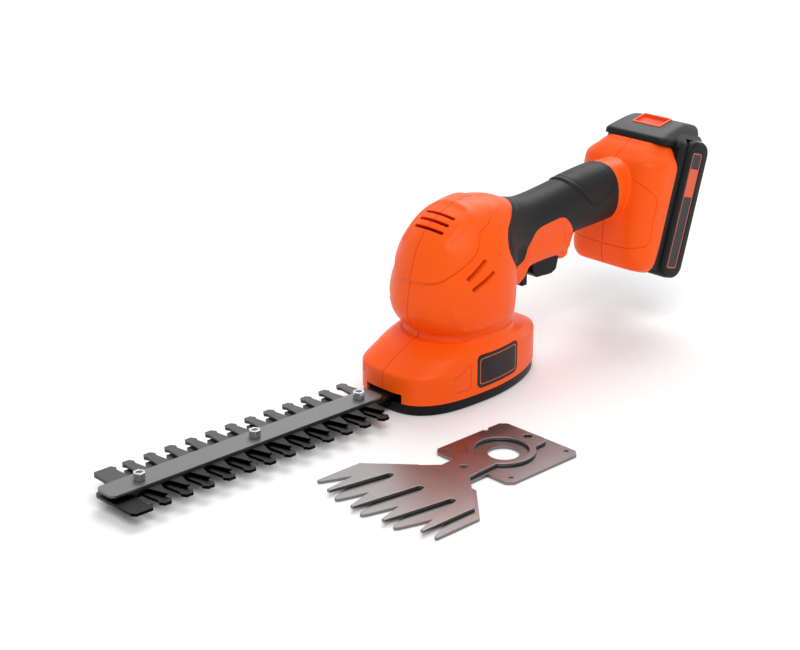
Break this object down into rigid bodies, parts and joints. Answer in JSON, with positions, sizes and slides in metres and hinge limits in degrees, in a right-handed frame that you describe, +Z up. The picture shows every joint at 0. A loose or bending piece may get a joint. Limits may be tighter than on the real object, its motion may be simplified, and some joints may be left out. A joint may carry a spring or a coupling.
{
  "type": "cordless shear and shrub trimmer",
  "caption": "Cordless grass shear and shrub trimmer with a round motor head, bow handle, slide-on battery, reciprocating toothed blade and a loose grass shear blade set.",
  "frame": {"origin": "middle of the sole face that the tool rests on", "axes": "+Z up, -X along the blade towards its tip, +X towards the battery, the loose shear set on the -Y side"},
  "size_m": [0.5292, 0.2029, 0.1532],
  "materials": {
    "housing_orange": "satin orange moulding",
    "grip_rubber": "soft dark grey overmould",
    "badge_dark": "bare dark plate with a thin orange line",
    "black_plastic": "black moulding",
    "fastener_steel": "plain steel",
    "plate_aluminium": "die cast",
    "motor_steel": "plated steel",
    "armature": "laminated steel and copper winding",
    "gear_steel": "sintered steel",
    "bush_brass": "sintered bronze",
    "lower_blade_steel": "blackened steel with bare edges",
    "upper_blade_steel": "dark grey steel",
    "bar_steel": "grey steel",
    "terminal_brass": "plated brass",
    "battery_grey": "dark grey moulding",
    "cell_wrap": null,
    "board_green": "glass fibre board",
    "label_dark": "bare label with an orange line",
    "button_orange": "orange moulding",
    "shear_steel": "brushed steel with brown heat tint"
  },
  "bodies": {
    "housing": {"housing_left": "housing_orange", "housing_right": "housing_orange", "housing_screws": "fastener_steel", "grip_left": "grip_rubber", "grip_right": "grip_rubber", "badge_plates": "badge_dark", "gear_plate": "plate_aluminium", "motor_can": "motor_steel", "motor_endcap": "black_plastic", "motor_screws": "fastener_steel", "shaft_bush": "bush_brass", "lower_blade": "lower_blade_steel", "blade_bar": "bar_steel", "blade_bolts": "fastener_steel", "switch_module": "black_plastic", "trigger_pin": "fastener_steel", "trigger_spring": "fastener_steel", "terminal_block": "black_plastic", "terminal_blades": "terminal_brass"},
    "rotor": {"motor_shaft": "motor_steel", "motor_armature": "armature", "motor_pinion": "gear_steel", "cooling_fan": "black_plastic"},
    "drive": {"drive_gear": "gear_steel", "gear_shaft": "motor_steel", "shaft_clip": "fastener_steel"},
    "cutter": {"upper_blade": "upper_blade_steel", "blade_yoke": "bar_steel"},
    "trigger_body": {"trigger": "black_plastic"},
    "lock_tab": {"lock_off": "black_plastic"},
    "sole": {"sole_cover": "black_plastic"},
    "latch": {"sole_latch": "black_plastic"},
    "battery": {"battery_case": "battery_grey", "battery_tray": "battery_grey", "battery_cells": "cell_wrap", "battery_board": "board_green", "battery_contacts": "terminal_brass", "battery_labels": "label_dark"},
    "release_button": {"battery_button": "button_orange"},
    "shears": {"shear_comb": "shear_steel", "shear_pivot": "fastener_steel"},
    "shear_cutter": {"shear_blade": "shear_steel"}
  },
  "joints": [
    {"name": "gear_spin", "type": "hinge", "parent": "housing", "child": "drive", "pos_m": [-0.0352, 0, 0.0175], "axis": [0, 0, 1], "continuous": true},
    {"name": "motor_spin", "type": "hinge", "parent": "housing", "child": "rotor", "pos_m": [-0.004, 0, 0.05], "axis": [0, 0, 1], "continuous": true},
    {"name": "blade_slide", "type": "slide", "parent": "housing", "child": "cutter", "axis": [1, 0, 0], "range_m": [0, 0.008]},
    {"name": "trigger_pull", "type": "hinge", "parent": "housing", "child": "trigger_body", "pos_m": [0.09102, 0, 0.07804], "axis": [0, 1, 0], "range_deg": [0, 8], "stiffness_Nm_per_rad": 0.6, "deforming": ["trigger_spring"]},
    {"name": "lock_slide", "type": "slide", "parent": "housing", "child": "lock_tab", "axis": [-1, 0, 0], "range_m": [0, 0.004], "stiffness_N_per_m": 400},
    {"name": "sole_release", "type": "slide", "parent": "housing", "child": "sole", "axis": [0, 0, -1], "range_m": [0, 0.025]},
    {"name": "latch_press", "type": "slide", "parent": "sole", "child": "latch", "axis": [-1, 0, 0], "range_m": [0, 0.0025], "stiffness_N_per_m": 400},
    {"name": "battery_slide", "type": "slide", "parent": "housing", "child": "battery", "axis": [0.284, 0, 0.9588], "range_m": [0, 0.09]},
    {"name": "button_press", "type": "slide", "parent": "battery", "child": "release_button", "axis": [0.2079, 0, -0.9781], "range_m": [0, 0.0025], "stiffness_N_per_m": 600},
    {"name": "shear_lift", "type": "slide", "parent": "housing", "child": "shears", "axis": [0, 0, 1], "range_m": [0, 0.1]},
    {"name": "shear_swing", "type": "hinge", "parent": "shears", "child": "shear_cutter", "pos_m": [-0.10279, -0.1082, 0.0033], "axis": [0, 0, 1], "range_deg": [-9.5, 3.5]}
  ],
  "couplings": [
    {"joint": "motor_spin", "follows": "gear_spin", "ratio": -5.5}
  ]
}
